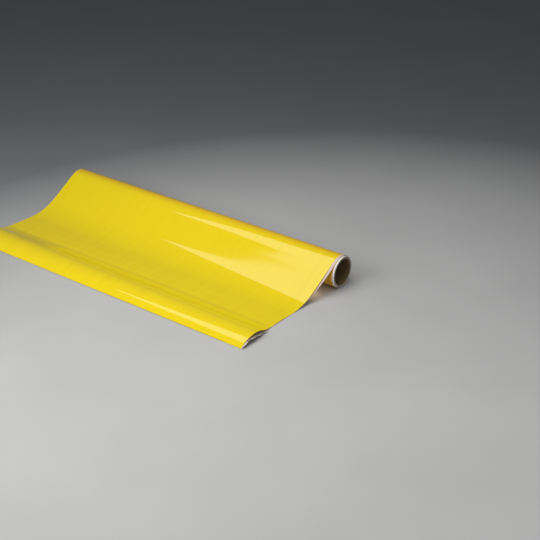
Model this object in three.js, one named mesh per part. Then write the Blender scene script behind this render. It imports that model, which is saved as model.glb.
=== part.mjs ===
// A roll of sign vinyl, partly unrolled: self-adhesive film on its release liner, wound on a
// spiral-wound paper core that lies on a flat surface. Millimetres, +Z up. The core lies along X,
// the free end of the sheet points to -Y. The origin is the bottom centre of the whole object.
import * as THREE from 'three';

// ---- driving dimensions ----
const CORE_BORE_RADIUS = 38.1;
const CORE_WALL = 6.35;
const CORE_PROJECTION = 5;
const FILM_WIDTH = 1000;
const OUTER_PLY = 0.3;
const INNER_PLY = 0.4;
const BOARD_PLY_COUNT = 4;
const PLY_GAP = 0.05;

const LINER = 0.15;
const FILM = 0.1;
const LAYER_GAP = 0.04;
const TAPE = 0.08;
const TAPE_WIDTH = 50;
const TAPE_SPACING = 400;

const FACETS_PER_TURN = 64;
const WOUND_TURNS = 3;
const SPIN_CLEARANCE = 0.15;

// The sheet in side view: slopes in degrees, lengths along the sheet, distances from the roll's axis.
const LEAVE_FACETS = 5;
const STEEPEST_SLOPE = 36.5;
const STEEPENING_LENGTH = 28;
const FOOT_SLOPE = 33;
const EASING_LENGTH = 75;
const CURL_START_DISTANCE = 283.4;
const CURL_FOOT_LENGTH = 46;
const CURL_RISE_SLOPE = 27;
const CURL_TOP_RADIUS = 86;
const CURL_FALL_SLOPE = 29;
const CURL_EDGE_SLOPE = 50;

// The sheet's long edges move over on the outer turn, and off the roll they run off square to it.
const OUTER_TURN_DRIFT = 7;
const EDGE_SKEW = 0.034;

// Where the sheet's pieces meet, and the gap that lets them move.
const PULL_JOINT_DISTANCE = 270;
const PEEL_SHARE = 0.45;
const JOINT_GAP = 0.3;

// The film has let go of its liner off the roll. The liner shows beside the film's right edge at the
// top of the drape, and hangs clear of the film in the drape and in the curl.
const LINER_SHIFT = 7;
const DRAPE_LINER_SAG = 3;
const DRAPE_SAG_END = 0.92;
const CURL_LINER_SAG = 4;

const radians = THREE.MathUtils.degToRad;
const FACET = (2 * Math.PI) / FACETS_PER_TURN;
const CORE_LENGTH = FILM_WIDTH + 2 * CORE_PROJECTION;
const CORE_RADIUS = CORE_BORE_RADIUS + CORE_WALL;
const LAMINATE = LINER + LAYER_GAP + FILM;
const PITCH = LAMINATE + LAYER_GAP;
const LEAVE_ANGLE = LEAVE_FACETS * FACET;

// ---- materials ----
const finish = (color, roughness) => () =>
  new THREE.MeshStandardMaterial({ color, roughness, metalness: 0 });
const vinyl = finish(0xeeda28, 0.22);
const releasePaper = finish(0xf1ece4, 0.45);
const whitePaper = finish(0xe6e1da, 0.6);
const kraftBoard = finish(0x9b7a55, 0.9);
const innerPaper = finish(0x7a5a3c, 0.9);
const tape = finish(0xd8cfae, 0.5);

const roll = new THREE.Group();

function addMesh(name, geometry, makeMaterial) {
  const mesh = new THREE.Mesh(geometry, makeMaterial());
  mesh.name = name;
  roll.add(mesh);
}

// ---- the line of the sheet ----
// A station is a point on the underside of the sheet, seen along X. Its slope is how steeply the
// sheet runs down towards -Y, in radians, and travel is the length of sheet up to it.
const upwards = (station) => ({ y: -Math.sin(station.slope), z: Math.cos(station.slope) });

// Stations wound on the roll about an axis at height axisZ, one for each facet. The radius grows
// by one pitch each turn, up to endRadius at the last one.
function windingStations(turns, endRadius, axisZ, endTravel) {
  const steps = Math.round(turns * FACETS_PER_TURN);
  return Array.from({ length: steps + 1 }, (_, i) => {
    const stepsLeft = steps - i;
    const slope = LEAVE_ANGLE - stepsLeft * FACET;
    const radius = endRadius - (PITCH * stepsLeft) / FACETS_PER_TURN;
    return {
      y: -radius * Math.sin(slope),
      z: axisZ + radius * Math.cos(slope),
      slope,
      travel: endTravel - stepsLeft * FACET * endRadius,
    };
  });
}

// Stations on from a given one, along an arc that ends at another slope.
function arcStations(from, radius, endSlope, steps) {
  const turned = endSlope - from.slope;
  const bend = Math.sign(turned) / radius;
  return Array.from({ length: steps }, (_, i) => {
    const slope = from.slope + (turned * (i + 1)) / steps;
    return {
      y: from.y - (Math.sin(slope) - Math.sin(from.slope)) / bend,
      z: from.z + (Math.cos(slope) - Math.cos(from.slope)) / bend,
      slope,
      travel: from.travel + Math.abs(slope - from.slope) * radius,
    };
  });
}

function flatStation(from, distance) {
  return { y: -distance, z: from.z, slope: 0, travel: from.travel + from.y + distance };
}

const lastOf = (list) => list[list.length - 1];

const tapeFloor = CORE_RADIUS + LAYER_GAP;
const woundStart = tapeFloor + TAPE + LAYER_GAP;
const woundEnd = woundStart + WOUND_TURNS * PITCH;
const outerTurnEnd = woundEnd + LAMINATE + SPIN_CLEARANCE + PITCH;
const turnsFromBottom = 0.5 + LEAVE_FACETS / FACETS_PER_TURN;
const rollAxisZ = outerTurnEnd - PITCH * turnsFromBottom + LAMINATE;

const woundStations = windingStations(WOUND_TURNS, woundEnd, rollAxisZ, 0);
const OUTER_TURN_LENGTH = 2 * Math.PI * outerTurnEnd;
const outerTurn = windingStations(1, outerTurnEnd, rollAxisZ, OUTER_TURN_LENGTH);

const radiusOf = (length, turned) => length / Math.abs(turned);

// The drape steepens, eases, and then curves in to land: the last radius is what brings it down to
// the surface.
const steepest = radians(STEEPEST_SLOPE);
const footSlope = radians(FOOT_SLOPE);
const steepeningRadius = radiusOf(STEEPENING_LENGTH, steepest - LEAVE_ANGLE);
const easingRadius = radiusOf(EASING_LENGTH, footSlope - steepest);
const drape = arcStations(lastOf(outerTurn), steepeningRadius, steepest, 4);
drape.push(...arcStations(lastOf(drape), easingRadius, footSlope, 4));
const footRadius = lastOf(drape).z / (1 - Math.cos(footSlope));
drape.push(...arcStations(lastOf(drape), footRadius, 0, 14));
const landing = lastOf(drape);
const DRAPE_LENGTH = landing.travel - OUTER_TURN_LENGTH;

const pullJoint = flatStation(landing, PULL_JOINT_DISTANCE);
const curlStart = flatStation(pullJoint, CURL_START_DISTANCE);

// The curl: an inward foot, an outward top, and a tighter edge that comes down to the surface.
const rise = radians(CURL_RISE_SLOPE);
const fall = radians(CURL_FALL_SLOPE);
const edgeSlope = radians(CURL_EDGE_SLOPE);
const curl = arcStations(curlStart, radiusOf(CURL_FOOT_LENGTH, rise), -rise, 7);
curl.push(...arcStations(lastOf(curl), CURL_TOP_RADIUS, fall, 12));
const edgeRadius = lastOf(curl).z / (Math.cos(fall) - Math.cos(edgeSlope));
curl.push(...arcStations(lastOf(curl), edgeRadius, edgeSlope, 5));

// ---- solids ----
// One layer of the sheet: a box bent along its stations. Its faces lie at heights lower and upper
// above the sheet's underside, less the sag at that share of the way along. A shift in X comes in
// over the outer turn and goes out down the drape.
function bentLayer(stations, lower, upper, { sag = () => 0, shift = 0 } = {}) {
  const count = stations.length - 1;
  const geometry = new THREE.BoxGeometry(1, 1, 1, count, 1, 1);
  const position = geometry.attributes.position;
  for (let i = 0; i < position.count; i++) {
    const share = position.getX(i) + 0.5;
    const station = stations[Math.round(share * count)];
    const normal = upwards(station);
    const height = (position.getZ(i) > 0 ? upper : lower) - sag(share);
    const edge = Math.sign(position.getY(i)) * (FILM_WIDTH / 2);
    const round = THREE.MathUtils.clamp(station.travel / OUTER_TURN_LENGTH, 0, 1);
    const unrolled = Math.max(0, station.travel - OUTER_TURN_LENGTH);
    const down = THREE.MathUtils.clamp(unrolled / DRAPE_LENGTH, 0, 1);
    const drift = OUTER_TURN_DRIFT * round + EDGE_SKEW * unrolled;
    const x = edge - drift + shift * round * (1 - down);
    position.setXYZ(i, x, station.y + height * normal.y, station.z + height * normal.z);
  }
  return geometry;
}

// The same stations, stopped short by a gap at the far end, so that the next piece can move.
function endedShort(stations, gap) {
  const end = lastOf(stations);
  const cut = { ...end, y: end.y + gap * Math.cos(end.slope), z: end.z + gap * Math.sin(end.slope) };
  return [...stations.slice(0, -1), cut];
}

function addLiner(suffix, stations, options) {
  addMesh(`liner_${suffix}`, bentLayer(stations, 0, LINER, options), releasePaper);
}

function addFilm(suffix, stations) {
  addMesh(`film_${suffix}`, bentLayer(stations, LINER + LAYER_GAP, LAMINATE), vinyl);
}

function addCorePly(name, innerRadius, outerRadius, makeMaterial) {
  const half = CORE_LENGTH / 2;
  const profile = [
    new THREE.Vector2(innerRadius, -half),
    new THREE.Vector2(outerRadius, -half),
    new THREE.Vector2(outerRadius, half),
    new THREE.Vector2(innerRadius, half),
    new THREE.Vector2(innerRadius, -half),
  ];
  const geometry = new THREE.LatheGeometry(profile, FACETS_PER_TURN);
  geometry.rotateZ(-Math.PI / 2);
  geometry.translate(0, 0, rollAxisZ);
  addMesh(name, geometry, makeMaterial);
}

// ---- the core: an inner ply, board plies and a white outer ply ----
const boardPly =
  (CORE_WALL - INNER_PLY - OUTER_PLY - PLY_GAP * (BOARD_PLY_COUNT + 1)) / BOARD_PLY_COUNT;
addCorePly('core_inner_ply', CORE_BORE_RADIUS, CORE_BORE_RADIUS + INNER_PLY, innerPaper);
for (let i = 0; i < BOARD_PLY_COUNT; i++) {
  const inner = CORE_BORE_RADIUS + INNER_PLY + PLY_GAP + i * (boardPly + PLY_GAP);
  addCorePly(`core_board_ply_${i + 1}`, inner, inner + boardPly, kraftBoard);
}
addCorePly('core_outer_ply', CORE_RADIUS - OUTER_PLY, CORE_RADIUS, whitePaper);

// ---- double-sided tapes that hold the inner end of the liner on the core ----
['left', 'middle', 'right'].forEach((place, i) => {
  const geometry = bentLayer(woundStations.slice(0, 7), -LAYER_GAP - TAPE, -LAYER_GAP);
  geometry.scale(TAPE_WIDTH / FILM_WIDTH, 1, 1);
  geometry.translate((i - 1) * TAPE_SPACING, 0, 0);
  addMesh(`starter_tape_${place}`, geometry, tape);
});

// ---- the sheet ----
// The liner hangs clear of the film between two shares of its length, most of all half way.
const sagBetween = (from, to, depth) => (share) => {
  const along = THREE.MathUtils.clamp((share - from) / (to - from), 0, 1);
  return depth * Math.sin(Math.PI * along) ** 2;
};
const drapeStations = [...outerTurn, ...drape];
const drapeFrom = (outerTurn.length - 1) / (drapeStations.length - 1);
const lead = [curlStart, ...curl];
const tipIndex = Math.round(lead.length * PEEL_SHARE);

addLiner('wound', woundStations);
addFilm('wound', woundStations);

const drapeSag = sagBetween(drapeFrom, DRAPE_SAG_END, DRAPE_LINER_SAG);
addLiner('drape', drapeStations, { sag: drapeSag, shift: LINER_SHIFT });
addFilm('drape', drapeStations);

const laid = endedShort([landing, pullJoint], JOINT_GAP);
addLiner('laid', laid);
addFilm('laid', laid);

const front = endedShort([pullJoint, curlStart], JOINT_GAP);
addLiner('front', front);
addFilm('front', front);

addLiner('lead', lead, { sag: sagBetween(0, 1, CURL_LINER_SAG) });
addFilm('lead', endedShort(lead.slice(0, tipIndex + 1), JOINT_GAP));
addFilm('tip', lead.slice(tipIndex));

// ---- the origin: the middle of the object in plan, on the surface that it lies on ----
const bounds = new THREE.Box3().setFromObject(roll);
const middle = bounds.getCenter(new THREE.Vector3());
roll.position.set(-middle.x, -middle.y, -bounds.min.z);

export default roll;
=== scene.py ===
"""A roll of sign vinyl, partly unrolled, on a pale studio floor. Metres, in the CAD row's frame.

The core lies along X and the free end of the sheet points to -Y. The sheet's line in side view is
the CAD model's to within a few millimetres, drawn finer and with smooth curvature.
"""

import math

import bmesh
import bpy
import numpy as np
from mathutils import Matrix, Vector


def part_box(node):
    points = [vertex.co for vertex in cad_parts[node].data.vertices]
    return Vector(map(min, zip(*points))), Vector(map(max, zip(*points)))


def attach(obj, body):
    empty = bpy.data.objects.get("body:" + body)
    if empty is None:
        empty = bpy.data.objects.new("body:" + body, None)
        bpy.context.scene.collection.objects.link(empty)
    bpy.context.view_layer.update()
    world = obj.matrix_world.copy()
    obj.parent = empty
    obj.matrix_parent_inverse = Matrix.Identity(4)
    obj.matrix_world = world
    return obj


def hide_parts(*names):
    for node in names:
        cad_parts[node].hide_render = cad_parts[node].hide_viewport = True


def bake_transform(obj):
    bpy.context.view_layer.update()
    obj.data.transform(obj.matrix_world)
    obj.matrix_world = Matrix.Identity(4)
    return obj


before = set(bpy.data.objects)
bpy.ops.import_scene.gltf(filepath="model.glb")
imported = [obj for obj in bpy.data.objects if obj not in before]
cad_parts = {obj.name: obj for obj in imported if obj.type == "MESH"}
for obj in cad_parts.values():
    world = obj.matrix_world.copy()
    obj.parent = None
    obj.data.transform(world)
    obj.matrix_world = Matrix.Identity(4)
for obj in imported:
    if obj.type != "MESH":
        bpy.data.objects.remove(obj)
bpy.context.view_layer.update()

# ---- driving dimensions ----
# They are the CAD model's, except the four from STEEPEST_SLOPE to EASING_LENGTH and the liner's sag
# under the curl, which are fitted more closely to the photo.
CORE_BORE_RADIUS = 0.0381
CORE_WALL = 0.00635
OUTER_PLY = 0.0003
INNER_PLY = 0.0004
BOARD_PLY_COUNT = 4
PLY_GAP = 0.00005
FILM_WIDTH = 1.0
LINER = 0.00015
FILM = 0.0001
LAYER_GAP = 0.00004
TAPE = 0.00008
WOUND_TURNS = 3
SPIN_CLEARANCE = 0.00015
LEAVE_SLOPE = math.radians(28.125)
STEEPEST_SLOPE = math.radians(35.5)
STEEPENING_LENGTH = 0.022
FOOT_SLOPE = math.radians(32.5)
EASING_LENGTH = 0.085
CURL_START_DISTANCE = 0.2834
CURL_FOOT_LENGTH = 0.046
CURL_RISE_SLOPE = math.radians(27)
CURL_TOP_RADIUS = 0.086
CURL_FALL_SLOPE = math.radians(29)
CURL_EDGE_SLOPE = math.radians(50)
DRAPE_LINER_SAG = 0.003
CURL_LINER_SAG = 0.010

# How far the sheet's long edges have moved over, as (length of sheet off the roll, drift).
EDGE_DRIFT = ((0.0, 0.0073), (0.295, 0.0245), (0.36, 0.0192), (0.436, 0.022))
DRIFT_SMOOTHING = 0.05

# How far the liner shows beside the film: on the drape, over a span of sheet off the roll, and under
# the curl, where it is uneven. Its edge turns down on the drape.
LINER_SHIFT = 0.007
LINER_SHIFT_SPAN = (0.02, 0.16)
LINER_DROOP = 0.002
CURL_LINER_SHIFT = 0.004
CURL_LINER_UNEVENNESS = 0.35

# The surface: soft waves where the sheet hangs free, faint ridges along X where it lies flat, a soft
# crease where the curl begins, and the laid sheet's right edge, which stands a little off the floor.
WAVE_HEIGHT = 0.00025
WAVE_LENGTH = 0.83
RIDGE_HEIGHT = 0.00008
RIDGE_SPACING = 0.031
RIDGE_WANDER = 0.004
RIDGE_WANDER_LENGTH = 1.3
CREASE = 0.0007
CREASE_WIDTH = 0.04
RIM_LIFT = 0.0016
RIM_WIDTH = 0.03

CORE_RADIUS = CORE_BORE_RADIUS + CORE_WALL
LAMINATE = LINER + LAYER_GAP + FILM
PITCH = LAMINATE + LAYER_GAP
WOUND_START = CORE_RADIUS + LAYER_GAP + TAPE + LAYER_GAP
WOUND_END = WOUND_START + WOUND_TURNS * PITCH
OUTER_TURN_END = WOUND_END + LAMINATE + SPIN_CLEARANCE + PITCH
OUTER_TURN_LENGTH = 2 * math.pi * OUTER_TURN_END

core_low, core_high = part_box("core_outer_ply")
AXIS_Y = (core_low.y + core_high.y) / 2
AXIS_Z = (core_low.z + core_high.z) / 2
film_low, film_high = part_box("film_wound")
SHEET_MIDDLE_X = (film_low.x + film_high.x) / 2

# Where the sheet's pieces meet and where they bend, as Y in the frame.
LANDING_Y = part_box("film_laid")[1].y
LIFT_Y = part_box("film_front")[0].y
PEEL_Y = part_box("film_tip")[1].y
FRONT_SEAM_Y = LIFT_Y + 0.012
TIP_SEAM_Y = PEEL_Y + 0.015

# How finely the sheet is drawn: along it, round a turn, and across it, with extra columns near its
# right edge and a narrow strip along each edge, which keeps the shading of the flat face clean.
STEP = 0.0005
STATION_STRIDE = 3
SMOOTHING = 0.012
TURN_STEPS = 192
COLUMNS = 72
RIM_COLUMNS = 5
RIM_COLUMN = 0.0022
RIM_STRIP = 0.0001


# ---- the line of the sheet ----
class Profile:
    """The sheet in side view as a chain of arcs: how far it has come, and its slope at each joint."""

    def __init__(self):
        self.y = AXIS_Y - OUTER_TURN_END * math.sin(LEAVE_SLOPE)
        self.z = AXIS_Z + OUTER_TURN_END * math.cos(LEAVE_SLOPE)
        self.knots = [(0.0, LEAVE_SLOPE - 2 * math.pi), (OUTER_TURN_LENGTH, LEAVE_SLOPE)]

    def arc(self, end, length=None, radius=None):
        """An arc to the slope end. With neither a length nor a radius it comes down to the floor."""
        travel, slope = self.knots[-1]
        if length is not None:
            radius = length / (end - slope)
        elif radius is None:
            radius = self.z / (math.cos(slope) - math.cos(end))
        self.y -= radius * (math.sin(end) - math.sin(slope))
        self.z += radius * (math.cos(end) - math.cos(slope))
        self.knots.append((travel + radius * (end - slope), end))
        return self.knots[-1][0]

    def flat(self, distance):
        """Straight on to a distance from the roll's axis."""
        self.knots.append((self.knots[-1][0] + self.y - (AXIS_Y - distance), 0.0))
        self.y = AXIS_Y - distance
        return self.knots[-1][0]


def smoothed(values, reach):
    """A running mean with a raised-cosine window. The ends carry on straight."""
    half = max(1, round(reach / STEP))
    window = 1 + np.cos(np.pi * np.arange(-half, half + 1) / (half + 1))
    before = values[0] - (values[1] - values[0]) * np.arange(half, 0, -1)
    after = values[-1] + (values[-1] - values[-2]) * np.arange(1, half + 1)
    padded = np.concatenate([before, values, after])
    return np.convolve(padded, window / window.sum(), "valid")


class Line:
    """Stations of the sheet's underside, seen along X: y, z, slope and travel."""

    def __init__(self, y, z, slope, travel):
        self.y, self.z, self.slope, self.travel = y, z, slope, travel

    def part(self, start, end):
        """The stations with travel from start to end, with one exactly at each and one close to it."""
        near = (start + RIM_STRIP, end - RIM_STRIP)
        inside = (self.travel > near[0] + RIM_STRIP) & (self.travel < near[1] - RIM_STRIP)
        travel = np.concatenate([[start, near[0]], self.travel[inside], [near[1], end]])
        return Line(*(np.interp(travel, self.travel, v) for v in (self.y, self.z, self.slope)), travel)

    def travel_at(self, y):
        """The travel where the unrolled sheet passes y."""
        free = self.travel >= OUTER_TURN_LENGTH
        return float(np.interp(-y, -self.y[free], self.travel[free]))


def winding(turns, end_radius, end_travel, steps=TURN_STEPS):
    """A winding whose radius grows by one pitch each turn, up to end_radius at its last station."""
    left = np.linspace(turns, 0, round(turns * steps) + 1)
    slope = LEAVE_SLOPE - 2 * math.pi * left
    radius = end_radius - PITCH * left
    return Line(
        AXIS_Y - radius * np.sin(slope),
        AXIS_Z + radius * np.cos(slope),
        slope,
        end_travel - 2 * math.pi * left * end_radius,
    )


def free_line():
    """The sheet from the start of its outer turn to its free edge."""
    profile = Profile()
    profile.arc(STEEPEST_SLOPE, length=STEEPENING_LENGTH)
    profile.arc(FOOT_SLOPE, length=EASING_LENGTH)
    landing = profile.arc(0.0)
    curl_start = profile.flat(CURL_START_DISTANCE)
    profile.arc(-CURL_RISE_SLOPE, length=CURL_FOOT_LENGTH)
    profile.arc(CURL_FALL_SLOPE, radius=CURL_TOP_RADIUS)
    free_edge = profile.arc(CURL_EDGE_SLOPE)

    travel = np.arange(0, free_edge + STEP / 2, STEP)
    slope = smoothed(np.interp(travel, *zip(*profile.knots)), SMOOTHING)
    turn = winding(1, OUTER_TURN_END, OUTER_TURN_LENGTH, 4 * TURN_STEPS)
    first = int((travel <= OUTER_TURN_LENGTH - SMOOTHING).sum()) - 1
    y = np.interp(travel, turn.travel, turn.y)
    z = np.interp(travel, turn.travel, turn.z)
    middle = (slope[1:] + slope[:-1]) / 2
    y[first:] = y[first] + np.concatenate([[0], np.cumsum(-np.cos(middle[first:]) * STEP)])
    z[first:] = z[first] + np.concatenate([[0], np.cumsum(-np.sin(middle[first:]) * STEP)])
    fix_height(z, travel, OUTER_TURN_LENGTH, landing + SMOOTHING)
    fix_height(z, travel, curl_start, travel[-1])
    return Line(y, z, slope, travel)


def fix_height(z, travel, start, end):
    """Smoothing moves the line by a hair, so its height is eased back to the floor by travel end."""
    share = np.clip((travel - start) / (end - start), 0, 1)
    z -= share * share * (3 - 2 * share) * np.interp(end, travel, z)


SHEET = free_line()
COARSE = slice(None, None, STATION_STRIDE)
SHEET_STATIONS = Line(*(v[COARSE] for v in (SHEET.y, SHEET.z, SHEET.slope, SHEET.travel)))
FREE_EDGE = float(SHEET.travel[-1])
LANDING = SHEET.travel_at(LANDING_Y)
FRONT_SEAM = SHEET.travel_at(FRONT_SEAM_Y)
TIP_SEAM = SHEET.travel_at(TIP_SEAM_Y)
CURL_START = SHEET.travel_at(LIFT_Y)


# ---- meshes ----
def smoothstep(low, high, value):
    share = np.clip((value - low) / (high - low), 0, 1)
    return share * share * (3 - 2 * share)


def bump_between(low, high, value):
    """0 at low and at high, 1 half way, smooth at both."""
    share = np.clip((value - low) / (high - low), 0, 1)
    return np.sin(np.pi * share) ** 2


def edge_drift(travel):
    """How far the long edges have moved over towards -X: evenly on the outer turn, then as given."""
    lengths, drifts = zip(*EDGE_DRIFT)
    fine = np.arange(-0.1, 0.6, STEP)
    free = smoothed(np.interp(fine, (-OUTER_TURN_LENGTH, *lengths), (0.0, *drifts)), DRIFT_SMOOTHING)
    on_roll = np.clip(travel / OUTER_TURN_LENGTH, 0, 1) * drifts[0]
    off_roll = np.interp(travel - OUTER_TURN_LENGTH, fine, free)
    share = smoothstep(-0.05, 0.0, travel - OUTER_TURN_LENGTH)
    return on_roll + (off_roll - on_roll) * share


def liner_shift(travel):
    """How far the liner shows beside the film's right edge: on the drape, and under the curl."""
    round_the_roll = np.clip(travel / OUTER_TURN_LENGTH, 0, 1)
    free = travel - OUTER_TURN_LENGTH
    drape = LINER_SHIFT * round_the_roll * (1 - smoothstep(*LINER_SHIFT_SPAN, free))
    uneven = 1 + CURL_LINER_UNEVENNESS * np.sin(2 * np.pi * free / RIDGE_SPACING)
    return drape + CURL_LINER_SHIFT * uneven * smoothstep(CURL_START - 0.01, CURL_START + 0.05, travel)


def beside_film(x, travel):
    """How far x is from the film's right edge, towards -X."""
    return film_high.x - edge_drift(travel) - x


def liner_lift(x, travel):
    """The liner's right edge, past the film's, turns down on the drape."""
    droop = LINER_DROOP * smoothstep(0.002, -LINER_SHIFT, beside_film(x, travel))
    free = smoothstep(OUTER_TURN_LENGTH, OUTER_TURN_LENGTH + 0.03, travel)
    shown = 1 - smoothstep(*LINER_SHIFT_SPAN, travel - OUTER_TURN_LENGTH)
    return sheet_lift(x, travel) - droop * free * shown


def sheet_lift(x, travel):
    """How far the laminate stands off its ideal line: waves, ridges, its right rim and the crease.
    The phases of the waves and ridges are arbitrary."""
    free = smoothstep(OUTER_TURN_LENGTH, OUTER_TURN_LENGTH + 0.06, travel)
    laid = smoothstep(LANDING - 0.01, LANDING + 0.05, travel)
    laid = laid * (1 - smoothstep(CURL_START - 0.015, CURL_START + 0.02, travel))
    waves = WAVE_HEIGHT * (1 + np.sin(2 * np.pi * x / WAVE_LENGTH + 1.1 + 9 * travel))
    wander = RIDGE_WANDER * np.sin(2 * np.pi * x / RIDGE_WANDER_LENGTH + 0.6)
    ridges = RIDGE_HEIGHT * (1 + np.sin(2 * np.pi * (travel + wander) / RIDGE_SPACING + 0.4))
    rim = RIM_LIFT * smoothstep(RIM_WIDTH, 0, beside_film(x, travel))
    crease = CREASE * bump_between(CURL_START, CURL_START + CREASE_WIDTH, travel + wander / 2)
    return free * waves * (1 - laid * 0.8) + laid * (ridges + rim) + crease


def link(name, vertices, faces, uv=None, smooth=None, materials=(), face_material=None):
    """A mesh object from arrays. smooth is True or False for each face."""
    mesh = bpy.data.meshes.new(name)
    mesh.from_pydata(vertices.tolist(), [], faces)
    if uv is not None:
        layer = mesh.uv_layers.new(name="Sheet")
        corners = np.empty(len(mesh.loops), np.int32)
        mesh.loops.foreach_get("vertex_index", corners)
        layer.data.foreach_set("uv", uv[corners].astype(np.float32).ravel())
    mesh.polygons.foreach_set("use_smooth", [True] * len(faces) if smooth is None else smooth)
    for material in materials:
        mesh.materials.append(material)
    if face_material is not None:
        mesh.polygons.foreach_set("material_index", face_material)
    mesh.update()
    obj = bpy.data.objects.new(name, mesh)
    bpy.context.scene.collection.objects.link(obj)
    return obj


def layer(name, line, lower, upper, materials, sag=None, shift=None, lift=None, edge=None):
    """One closed layer of the sheet. materials are those of its top, its underside and its rim.

    lower and upper are heights above the line, sag is how far it hangs below, shift how far it lies
    over towards +X, and edge how uneven its long edges are. Each is a function of travel, and lift
    one of (x, travel)."""
    strip = RIM_STRIP / FILM_WIDTH
    inner = np.linspace(-0.5, 0.5, COLUMNS + 1)[1:-1]
    side = 0.5 - np.arange(RIM_COLUMNS, 0, -1) * RIM_COLUMN / FILM_WIDTH
    across = np.concatenate([[-0.5, strip - 0.5], inner, side, [0.5 - strip, 0.5]])[None, :]
    rows, columns = len(line.y), across.shape[1]
    travel = line.travel[:, None]
    x = SHEET_MIDDLE_X + across * FILM_WIDTH - edge_drift(travel)
    if shift is not None:
        x = x + shift(travel)
    if edge is not None:
        x = x + edge(travel) * 2 * across
    offset = np.zeros_like(x)
    if sag is not None:
        offset = offset - sag(travel)
    if lift is not None:
        offset = offset + lift(x, travel)
    normal_y, normal_z = -np.sin(line.slope)[:, None], np.cos(line.slope)[:, None]
    sides = []
    for height in (lower, upper):
        h = height + offset
        y = line.y[:, None] + h * normal_y
        z = line.z[:, None] + h * normal_z
        sides.append(np.stack([x, y + 0 * x, z + 0 * x], -1).reshape(-1, 3))
    vertices = np.concatenate(sides)
    uv = np.stack([x, travel + 0 * x], -1).reshape(-1, 2)
    faces, kinds = layer_faces(rows, columns)
    return link(
        name,
        vertices,
        faces,
        uv=np.concatenate([uv, uv]),
        smooth=[k < 2 for k in kinds],
        materials=materials,
        face_material=kinds,
    )


def layer_faces(rows, columns):
    """Faces of a closed layer: its underside's vertices, then its top's. Kinds 0 top, 1 under, 2 rim."""

    def under(i, j):
        return i * columns + j

    def over(i, j):
        return (rows + i) * columns + j

    faces, kinds = [], []
    for i in range(rows - 1):
        for j in range(columns - 1):
            faces.append((over(i, j), over(i + 1, j), over(i + 1, j + 1), over(i, j + 1)))
            faces.append((under(i, j), under(i, j + 1), under(i + 1, j + 1), under(i + 1, j)))
            kinds += [0, 1]
    loop = [(i, 0) for i in range(rows - 1)] + [(rows - 1, j) for j in range(columns - 1)]
    loop += [(i, columns - 1) for i in range(rows - 1, 0, -1)]
    loop += [(0, j) for j in range(columns - 1, 0, -1)]
    for a, b in zip(loop, loop[1:] + loop[:1]):
        faces.append((under(*a), under(*b), over(*b), over(*a)))
        kinds.append(2)
    return faces, kinds


# ---- materials ----
class Finish:
    """A Principled material, and the nodes that give it detail."""

    def __init__(self, name, coordinates, **sockets):
        self.material = bpy.data.materials.new(name)
        self.material.use_nodes = True
        self.tree = self.material.node_tree
        self.surface = self.tree.nodes["Principled BSDF"]
        for socket, value in sockets.items():
            self.surface.inputs[socket.replace("_", " ")].default_value = value
        if coordinates == "sheet":
            node = self.node("ShaderNodeUVMap", uv_map="Sheet")
            self.place = node.outputs["UV"]
        else:
            self.place = self.node("ShaderNodeTexCoord").outputs["Object"]
        self.normal = None

    def node(self, kind, **settings):
        node = self.tree.nodes.new(kind)
        for key, value in settings.items():
            setattr(node, key, value)
        return node

    def feed(self, socket, source):
        self.tree.links.new(source, socket)
        return socket

    def stretched(self, x, y, z=1.0):
        node = self.node("ShaderNodeMapping")
        node.inputs["Scale"].default_value = (x, y, z)
        self.feed(node.inputs["Vector"], self.place)
        return node.outputs["Vector"]

    def noise(self, place, scale=1.0, detail=2.0, roughness=0.5):
        node = self.node("ShaderNodeTexNoise")
        for socket, value in (("Scale", scale), ("Detail", detail), ("Roughness", roughness)):
            node.inputs[socket].default_value = value
        self.feed(node.inputs["Vector"], place)
        return node.outputs["Fac"]

    def spread(self, value, low, high, from_low=0.3, from_high=0.7):
        """A value stretched from from_low..from_high, where most noise lies, to low..high."""
        node = self.node("ShaderNodeMapRange")
        for socket, number in (
            ("From Min", from_low),
            ("From Max", from_high),
            ("To Min", low),
            ("To Max", high),
        ):
            node.inputs[socket].default_value = number
        self.feed(node.inputs["Value"], value)
        return node.outputs["Result"]

    def shades(self, value, *stops):
        """A colour for each value, from (position, colour) stops."""
        node = self.node("ShaderNodeValToRGB")
        ramp = node.color_ramp
        while len(ramp.elements) < len(stops):
            ramp.elements.new(0.5)
        for element, (position, color) in zip(ramp.elements, stops):
            element.position, element.color = position, (*color, 1)
        self.feed(node.inputs["Fac"], value)
        return node.outputs["Color"]

    def along(self):
        """The length of sheet up to here."""
        node = self.node("ShaderNodeSeparateXYZ")
        self.feed(node.inputs["Vector"], self.place)
        return node.outputs["Y"]

    def distance_from(self, point):
        node = self.node("ShaderNodeVectorMath", operation="DISTANCE")
        node.inputs[1].default_value = point
        self.feed(node.inputs[0], self.place)
        return node.outputs["Value"]

    def squared(self, value):
        node = self.node("ShaderNodeMath", operation="POWER")
        node.inputs[1].default_value = 2
        self.feed(node.inputs[0], value)
        return node.outputs["Value"]

    def mixed(self, first, second, factor):
        node = self.node("ShaderNodeMixRGB")
        for socket, source in (("Color1", first), ("Color2", second), ("Fac", factor)):
            self.feed(node.inputs[socket], source)
        return node.outputs["Color"]

    def color(self, source):
        self.feed(self.surface.inputs["Base Color"], source)
        return self

    def roughness(self, source):
        self.feed(self.surface.inputs["Roughness"], source)
        return self

    def bump(self, height, distance, strength=1.0):
        node = self.node("ShaderNodeBump")
        node.inputs["Distance"].default_value = distance
        node.inputs["Strength"].default_value = strength
        self.feed(node.inputs["Height"], height)
        if self.normal is not None:
            self.feed(node.inputs["Normal"], self.normal)
        self.normal = node.outputs["Normal"]
        self.feed(self.surface.inputs["Normal"], self.normal)
        return self


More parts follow.
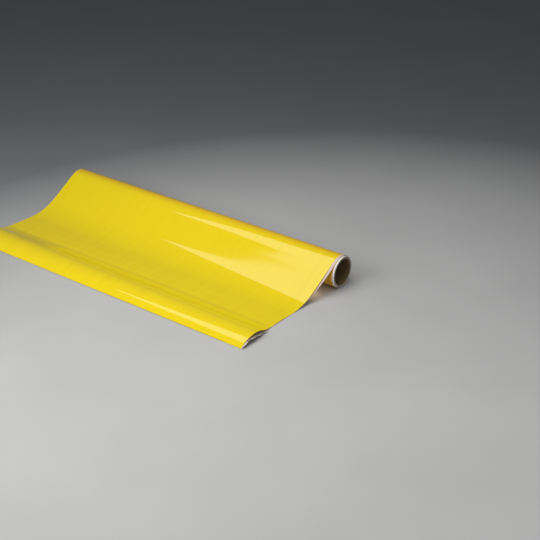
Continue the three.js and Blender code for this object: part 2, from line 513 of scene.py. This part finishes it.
def vinyl_face():
    """Gloss calendered film: faint streaks along the web, a little orange peel, and a deeper, more
    orange colour where it lies on the roll over other turns than where it lies on its liner. That colour
    is partly film over
    film and partly painted shade: the warm light that passes through the sheet and bounces off it into
    the shade on the roll."""
    f = Finish("Vinyl_gloss", "sheet", IOR=1.5, Coat_Weight=0.25, Coat_Roughness=0.04)
    streaks = f.noise(f.stretched(60, 2.5), 1.0, 3.0)
    laid = f.shades(streaks, (0.3, (0.745, 0.565, 0.006)), (0.7, (0.775, 0.588, 0.008)))
    # The roll's colour is partly film over film and partly painted shade, the warm light through and off
    # the sheet.
    layers_and_painted_shade = f.shades(streaks, (0.3, (0.80, 0.430, 0.002)), (0.7, (0.83, 0.455, 0.003)))
    off_the_roll = f.spread(f.along(), 0, 1, OUTER_TURN_LENGTH - 0.05, OUTER_TURN_LENGTH)
    f.color(f.mixed(layers_and_painted_shade, laid, off_the_roll))
    f.roughness(f.spread(f.noise(f.stretched(180, 12), 1.0, 3.0), 0.04, 0.07))
    f.bump(f.noise(f.stretched(1, 1), 26.0, 1.0), 0.00005)
    f.bump(f.noise(f.stretched(1, 1), 420.0, 2.0), 0.000003)
    return f.material


def vinyl_back():
    """The adhesive side of the film."""
    f = Finish("Vinyl_adhesive", "sheet", IOR=1.47)
    cloud = f.noise(f.stretched(1, 1), 40.0, 4.0)
    f.color(f.shades(cloud, (0.3, (0.70, 0.53, 0.035)), (0.7, (0.76, 0.60, 0.06))))
    f.roughness(f.spread(f.noise(f.stretched(1, 1), 300.0, 3.0), 0.32, 0.5))
    f.bump(f.noise(f.stretched(1, 1), 350.0, 3.0), 0.00002)
    return f.material


def vinyl_rim():
    """The film's cut edges."""
    f = Finish("Vinyl_cut_edge", "sheet")
    grain = f.noise(f.stretched(1, 1), 900.0, 2.0)
    f.color(f.shades(grain, (0.3, (0.66, 0.36, 0.006)), (0.7, (0.74, 0.44, 0.010))))
    f.roughness(f.spread(grain, 0.4, 0.6))
    return f.material


def liner_face():
    """The silicone-coated side of the release paper."""
    f = Finish("Liner_silicone", "sheet", IOR=1.45, Coat_Weight=0.2, Coat_Roughness=0.2)
    cloud = f.noise(f.stretched(1, 1), 60.0, 4.0)
    f.color(f.shades(cloud, (0.3, (0.56, 0.455, 0.40)), (0.7, (0.64, 0.53, 0.475))))
    f.roughness(f.spread(f.noise(f.stretched(1, 1), 240.0, 3.0), 0.28, 0.4))
    f.bump(f.noise(f.stretched(1, 1), 700.0, 3.0), 0.00002)
    return f.material


def liner_back():
    """The plain side of the release paper: matt, with a little fibre."""
    f = Finish("Liner_paper", "sheet")
    fibre = f.noise(f.stretched(900, 260), 1.0, 4.0)
    f.color(f.shades(fibre, (0.3, (0.72, 0.64, 0.53)), (0.7, (0.82, 0.75, 0.65))))
    f.roughness(f.spread(fibre, 0.62, 0.8))
    f.bump(fibre, 0.00003)
    return f.material


def white_paper():
    """The core's outer ply: smooth white paper."""
    f = Finish("Core_white_paper", "object", IOR=1.5, Coat_Weight=0.4, Coat_Roughness=0.15)
    fibre = f.noise(f.stretched(500, 1100, 1100), 1.0, 4.0)
    f.color(f.shades(fibre, (0.3, (0.87, 0.845, 0.815)), (0.7, (0.94, 0.92, 0.90))))
    f.roughness(f.spread(f.noise(f.stretched(1, 1), 150.0, 3.0), 0.26, 0.4))
    f.bump(fibre, 0.00002)
    return f.material


def board():
    """Grey-beige recycled board, as it shows on the core's cut ends."""
    f = Finish("Core_board", "object")
    fibre = f.noise(f.stretched(1, 1), 900.0, 5.0, 0.65)
    f.color(
        f.shades(
            fibre,
            (0.3, (0.20, 0.145, 0.105)),
            (0.5, (0.34, 0.27, 0.215)),
            (0.72, (0.48, 0.40, 0.33)),
        )
    )
    f.roughness(f.spread(fibre, 0.8, 0.95))
    f.bump(fibre, 0.00012)
    return f.material


def bore_paper():
    """The core's inner ply: brown kraft paper."""
    f = Finish("Core_kraft_paper", "object")
    fibre = f.noise(f.stretched(260, 900, 900), 1.0, 5.0, 0.6)
    f.color(f.shades(fibre, (0.3, (0.125, 0.083, 0.032)), (0.7, (0.17, 0.12, 0.05))))
    f.roughness(f.spread(fibre, 0.7, 0.9))
    f.bump(fibre, 0.00005)
    return f.material


def tape_film():
    """Double-sided tape, milky and a little yellow."""
    f = Finish("Tape", "object", IOR=1.47)
    cloud = f.noise(f.stretched(1, 1), 200.0, 3.0)
    f.color(f.shades(cloud, (0.3, (0.62, 0.56, 0.40)), (0.7, (0.74, 0.69, 0.54))))
    f.roughness(f.spread(cloud, 0.35, 0.55))
    f.bump(cloud, 0.00003)
    return f.material


# ---- the sheet ----
# Waves in the sheet's long edges, as (height, radians per metre of sheet, phase). A slit edge is
# straight to a fraction of a millimetre, and the wound turns run a little more in and out of line.
SLIT_WAVES = ((0.00008, 61, 0), (0.00006, 143, 1))
WOUND_WAVES = ((0.00025, 7.3, 0), (0.00012, 31, 2))


def sum_of(waves, travel):
    return sum(height * np.sin(travel * rate + phase) for height, rate, phase in waves)


def sheet_edge(travel):
    return sum_of(SLIT_WAVES, travel)


def wound_edge(travel):
    return sum_of(WOUND_WAVES, travel)


def sag_of_liner(travel):
    """The liner hangs clear of the film in the drape and in the curl."""
    drape = DRAPE_LINER_SAG * bump_between(OUTER_TURN_LENGTH, LANDING - 0.012, travel)
    curl = CURL_LINER_SAG * bump_between(CURL_START, FREE_EDGE, travel)
    return drape + curl


def film_part(name, start, end):
    return layer(
        name,
        SHEET_STATIONS.part(start, end),
        LINER + LAYER_GAP,
        LAMINATE,
        VINYL,
        lift=sheet_lift,
        edge=sheet_edge,
    )


def liner_part(name, start, end):
    return layer(
        name,
        SHEET_STATIONS.part(start, end),
        0,
        LINER,
        PAPER,
        sag=sag_of_liner,
        shift=liner_shift,
        lift=liner_lift,
        edge=sheet_edge,
    )


def bend(piece):
    """Bakes a piece's transform into its mesh."""
    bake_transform(piece)


def build_sheet():
    """The unrolled film and liner, in parts because a piece can bend across only one joint."""
    film = film_part("Film_sheet", 0, FRONT_SEAM)
    bend(film)
    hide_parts("film_drape", "film_laid", "film_front")
    liner = liner_part("Liner_sheet", 0, FRONT_SEAM)
    bend(liner)
    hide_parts("liner_drape", "liner_laid", "liner_front")

    curl = film_part("Film_curl", FRONT_SEAM, TIP_SEAM)
    bend(curl)
    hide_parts("film_lead")
    tip = film_part("Film_tip", TIP_SEAM, FREE_EDGE)
    bend(tip)
    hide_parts("film_tip")
    liner_curl = liner_part("Liner_curl", FRONT_SEAM, FREE_EDGE)
    bend(liner_curl)
    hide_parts("liner_lead")


def build_wound():
    """The turns still tight on the core."""
    line = winding(WOUND_TURNS, WOUND_END, 0)
    for name, node, lower, upper, materials, slot in (
        ("Liner_wound", "liner_wound", 0, LINER, PAPER, "release_liner"),
        ("Film_wound", "film_wound", LINER + LAYER_GAP, LAMINATE, VINYL, "vinyl_film"),
    ):
        piece = layer(name, line, lower, upper, materials, edge=wound_edge)
        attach(piece, "roll")
        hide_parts(node)


# ---- the core ----
PLY_STEPS = 192
PLY_BAND = 0.13
SEAM_HALF = 0.0005
SEAM_DEPTH = 0.00012
PLY_CHAMFER = 0.0001
END_INSET = 0.0003
END_WOBBLE = 0.00009


def tube_rows(low, high, phase):
    """X of each row of a spiral-wound tube, one list per angle, and the rows that are in a seam."""
    offsets = np.array([-SEAM_HALF, 0.0, SEAM_HALF, PLY_BAND / 3, 2 * PLY_BAND / 3])
    turns = np.arange(-2, math.ceil((high - low) / PLY_BAND) + 1)
    starts = low + PLY_BAND * (turns + phase)
    rows = (starts[:, None] + offsets[None, :]).ravel()
    seam = np.tile(np.array([False, True, False, False, False]), len(turns))
    angle = np.arange(PLY_STEPS) / PLY_STEPS
    return rows[None, :] + PLY_BAND * angle[:, None], seam, len(offsets)


def end_wobble(angle, seed):
    """How unevenly a ply's end was cut."""
    draw = np.random.default_rng(seed)
    total = np.zeros_like(angle)
    for waves in (3, 7, 13, 29, 47):
        total += draw.normal() * np.sin(waves * angle + draw.uniform(0, 2 * np.pi)) / math.sqrt(waves)
    return END_WOBBLE * total / 2


def around_axis(x, radius, angle):
    return np.stack([x, AXIS_Y + radius * np.sin(angle), AXIS_Z + radius * np.cos(angle)], -1)


def build_ply(name, node, inner, outer, material, seed, seam_side=None):
    """A ply of the core: a closed tube with chamfered, slightly uneven ends. seam_side is the side
    on which its butt seam shows as a shallow spiral groove."""
    low, high = core_low.x, core_high.x
    chamfer = min(PLY_CHAMFER, (outer - inner) / 3)
    phase = (seed * 0.37) % 1
    rows, seam, shift = tube_rows(low, high, phase)
    angle = 2 * np.pi * np.arange(PLY_STEPS) / PLY_STEPS
    ends = (
        low + END_INSET - end_wobble(angle, seed),
        high - END_INSET + end_wobble(angle, seed + 50),
    )

    def wall(radius, groove):
        inside = (rows > ends[0][:, None] + chamfer) & (rows < ends[1][:, None] - chamfer)
        x = np.clip(rows, ends[0][:, None] + chamfer, ends[1][:, None] - chamfer)
        r = radius - groove * (inside & seam[None, :])
        return around_axis(x, r, angle[:, None])

    def ring(x, radius):
        return around_axis(x, radius, angle)

    outer_wall = wall(outer, SEAM_DEPTH if seam_side == "outer" else 0)
    inner_wall = wall(inner, -SEAM_DEPTH if seam_side == "inner" else 0)
    rims = [
        [ring(ends[1], outer - chamfer), ring(ends[1], inner + chamfer)],
        [ring(ends[0], inner + chamfer), ring(ends[0], outer - chamfer)],
    ]
    return tube(name, node, outer_wall, inner_wall, rims, shift, material)


def tube(name, node, outer_wall, inner_wall, rims, shift, material):
    """Joins the two walls of a ply and the rims between them into one closed mesh."""
    count, rows = outer_wall.shape[:2]
    vertices = np.concatenate(
        [outer_wall.reshape(-1, 3), inner_wall.reshape(-1, 3)] + [r for pair in rims for r in pair]
    )
    faces, smooth = [], []
    for base, turn in ((0, False), (count * rows, True)):
        for j in range(count):
            k, step = (j + 1) % count, shift if j == count - 1 else 0
            for i in range(rows - 1 - step):
                quad = (
                    base + j * rows + i,
                    base + j * rows + i + 1,
                    base + k * rows + i + 1 + step,
                    base + k * rows + i + step,
                )
                faces.append(quad[::-1] if turn else quad)
                smooth.append(True)
    first_rim = 2 * count * rows

    def edge(wall, last):
        return [(wall * count + j) * rows + (rows - 1 if last else 0) for j in range(count)]

    def circle(n):
        return [first_rim + n * count + j for j in range(count)]

    for loops in (
        (edge(0, True), circle(0), circle(1), edge(1, True)),
        (edge(1, False), circle(2), circle(3), edge(0, False)),
    ):
        for a, b in zip(loops, loops[1:]):
            for j in range(count):
                k = (j + 1) % count
                faces.append((a[j], b[j], b[k], a[k]))
                smooth.append(False)
    piece = link(name, vertices, faces, smooth=smooth, materials=[material])
    merge(piece)
    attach(piece, "roll")
    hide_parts(node)
    return piece


def merge(piece):
    """Joins the rows that ended together at the cut ends."""
    b = bmesh.new()
    b.from_mesh(piece.data)
    bmesh.ops.remove_doubles(b, verts=b.verts, dist=1e-7)
    bmesh.ops.dissolve_degenerate(b, edges=b.edges, dist=1e-7)
    b.to_mesh(piece.data)
    b.free()


def build_core():
    board_ply = CORE_WALL - INNER_PLY - OUTER_PLY - PLY_GAP * (BOARD_PLY_COUNT + 1)
    board_ply /= BOARD_PLY_COUNT
    kraft, paper, brown = board(), white_paper(), bore_paper()
    build_ply(
        "Core_inner_ply", "core_inner_ply", CORE_BORE_RADIUS, CORE_BORE_RADIUS + INNER_PLY,
        brown, 1, "inner",
    )
    for i in range(BOARD_PLY_COUNT):
        inner = CORE_BORE_RADIUS + INNER_PLY + PLY_GAP + i * (board_ply + PLY_GAP)
        build_ply(
            f"Core_board_ply_{i + 1}", f"core_board_ply_{i + 1}", inner, inner + board_ply,
            kraft, 2 + i,
        )
    build_ply(
        "Core_outer_ply", "core_outer_ply", CORE_RADIUS - OUTER_PLY, CORE_RADIUS,
        paper, 9, "outer",
    )
    tape = tape_film()
    for place in ("left", "middle", "right"):
        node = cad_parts[f"starter_tape_{place}"]
        node.data.materials.clear()
        node.data.materials.append(tape)


# ---- the studio ----
FLOOR_HALF = 15.0
# Painted shade on the floor: palest at this point, and darker over this span of distance from it, as the
# light falls off.
FLOOR_PALEST_AT = (0.8, -0.1, 0)
FLOOR_PAINTED_FALLOFF = (0.85, 1.6)


def floor_paper():
    """Pale backdrop paper with painted shade: darker towards its far left and back, where the light
    falls off.
    """
    f = Finish("Floor_paper", "object", Roughness=0.7)
    cloud = f.noise(f.stretched(1, 1), 3.0, 3.0)
    pale = f.shades(cloud, (0.3, (0.435, 0.432, 0.426)), (0.7, (0.465, 0.462, 0.455)))
    painted_falloff = f.shades(cloud, (0.3, (0.205, 0.208, 0.212)), (0.7, (0.22, 0.223, 0.228)))
    away = f.spread(f.distance_from(FLOOR_PALEST_AT), 0, 1, *FLOOR_PAINTED_FALLOFF)
    f.color(f.mixed(pale, painted_falloff, f.squared(away)))
    f.bump(f.noise(f.stretched(1, 1), 500.0, 2.0), 0.00003)
    return f.material


def build_floor():
    corners = FLOOR_HALF * np.array([(-1, -1, 0), (1, -1, 0), (1, 1, 0), (-1, 1, 0)])
    link("Floor", corners, [(0, 1, 2, 3)], materials=[floor_paper()])


def softbox(name, centre, facing, size, radiance, right=None, in_gloss=True, color=(1, 1, 1)):
    """A rectangular soft light that shines along facing, its first side along right. The camera
    doesn't see it, and gloss only where in_gloss says so."""
    facing = Vector(facing).normalized()
    right = Vector(right or facing.cross((0, 0, 1))).normalized()
    light = bpy.data.lights.new(name, "AREA")
    light.shape = "RECTANGLE"
    light.size, light.size_y = size
    light.energy = radiance * math.pi * size[0] * size[1]
    light.color = color
    obj = bpy.data.objects.new(name, light)
    obj.matrix_world = Matrix((right, right.cross(facing), -facing)).transposed().to_4x4()
    obj.location = centre
    obj.visible_glossy = in_gloss
    obj.visible_camera = False
    bpy.context.scene.collection.objects.link(obj)


def build_lights():
    """A key panel behind and above the roll, whose outline shows in the film, three fills that stay
    out of the gloss, and the warm light that the yellow roll throws on the floor under the drape."""
    panel = (0.786, 0.616, 0.054)
    softbox("Key", (-0.21, 0.38, 2.22), (0.599, -0.736, -0.322), (2.2, 1.4), 1.9, right=panel)
    softbox("Front", (-0.45, -2.0, 1.45), (0, 2.3, -1.6), (1.6, 1.0), 7.8, in_gloss=False)
    softbox("Top", (0.45, -0.5, 1.5), (0.2, 0.4, -1.5), (1.2, 1.2), 2.8, in_gloss=False)
    softbox("Side", (2.2, -0.2, 0.7), (-1.0, 0.15, -0.35), (1.0, 0.8), 2.3, in_gloss=False)
    bounce = dict(right=(1, 0, 0.03), in_gloss=False, color=(1, 0.72, 0.48))
    softbox("Bounce", (0.345, 0.104, 0.018), (0.03, 0, -1), (0.3, 0.04), 1.2, **bounce)


def build_world():
    world = bpy.data.worlds.new("Studio")
    bpy.context.scene.world = world
    world.use_nodes = True
    background = world.node_tree.nodes["Background"]
    background.inputs["Color"].default_value = (0.9, 0.95, 1.0, 1)
    background.inputs["Strength"].default_value = 0.12
    bpy.context.scene.view_settings.view_transform = "Standard"


CAMERA_FROM_CORE_END = Vector((1.4133, -2.2330, 1.4729))
CAMERA_FORWARD = Vector((-0.52553, 0.70616, -0.47451))
CAMERA_LENS = 72.85
CAMERA_SENSOR = 36


def build_camera():
    data = bpy.data.cameras.new("Camera")
    data.sensor_width = CAMERA_SENSOR
    data.lens = CAMERA_LENS
    camera = bpy.data.objects.new("Camera", data)
    camera.location = Vector((core_high.x, AXIS_Y, 0)) + CAMERA_FROM_CORE_END
    camera.rotation_euler = CAMERA_FORWARD.to_track_quat("-Z", "Y").to_euler()
    bpy.context.scene.collection.objects.link(camera)
    bpy.context.scene.camera = camera


build_camera()
build_lights()
build_world()
build_floor()
PAPER = (liner_face(), liner_back(), liner_back())
VINYL = (vinyl_face(), vinyl_back(), vinyl_rim())
build_core()
build_wound()
build_sheet()
